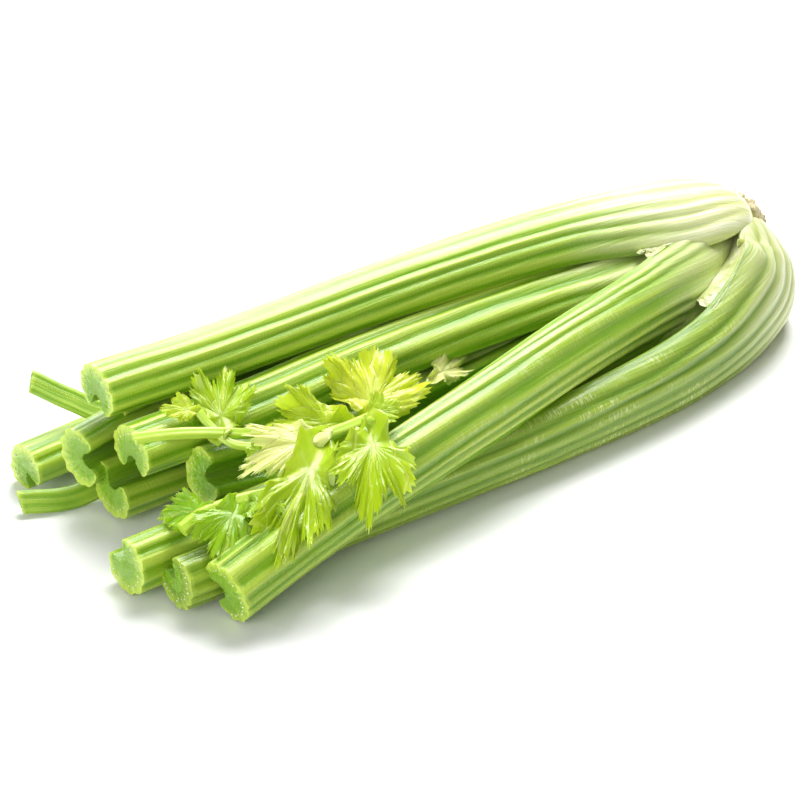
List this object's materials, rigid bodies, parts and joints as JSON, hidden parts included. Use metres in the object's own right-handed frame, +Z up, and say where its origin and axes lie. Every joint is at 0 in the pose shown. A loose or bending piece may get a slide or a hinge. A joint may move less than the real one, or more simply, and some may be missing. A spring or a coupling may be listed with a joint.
{
  "type": "head of celery",
  "caption": "Trimmed head of celery lying on its side: ribbed leaf stalks splay from one short root crown, with thin stems and small toothed leaves among them.",
  "frame": {"origin": "bottom centre of the bounding box, on the surface that the head lies on", "axes": "+X from the cut tips towards the root crown, +Y towards the back of the picture's view, +Z up"},
  "size_m": [0.3904, 0.1752, 0.0731],
  "materials": {
    "stalk": "moist ribbed bright yellow-green skin with pale glossy ridges, cream at the crown",
    "heart": "pale yellow-green, smooth and moist",
    "leaf": "thin bright lime-yellow leaf, soft sheen",
    "dark_leaf": "thin mid-green leaf, soft sheen",
    "root": "rough dry cream and tan cut root"
  },
  "bodies": {
    "root": {"crown": "root", "stalk_top": "stalk", "stalk_low_front": "stalk", "stalk_front": "stalk", "stalk_middle": "stalk", "stalk_back": "stalk", "stalk_far_back": "stalk", "stalk_under": "stalk", "stalk_low_middle": "stalk", "stalk_short": "stalk", "stem_back": "stalk", "stem_low": "stalk", "stem_thin": "stalk", "heart_stalk": "heart", "side_stem": "heart", "heart_leaves": "leaf", "side_leaves": "leaf", "inner_leaf": "leaf", "low_leaves": "dark_leaf"}
  },
  "joints": []
}
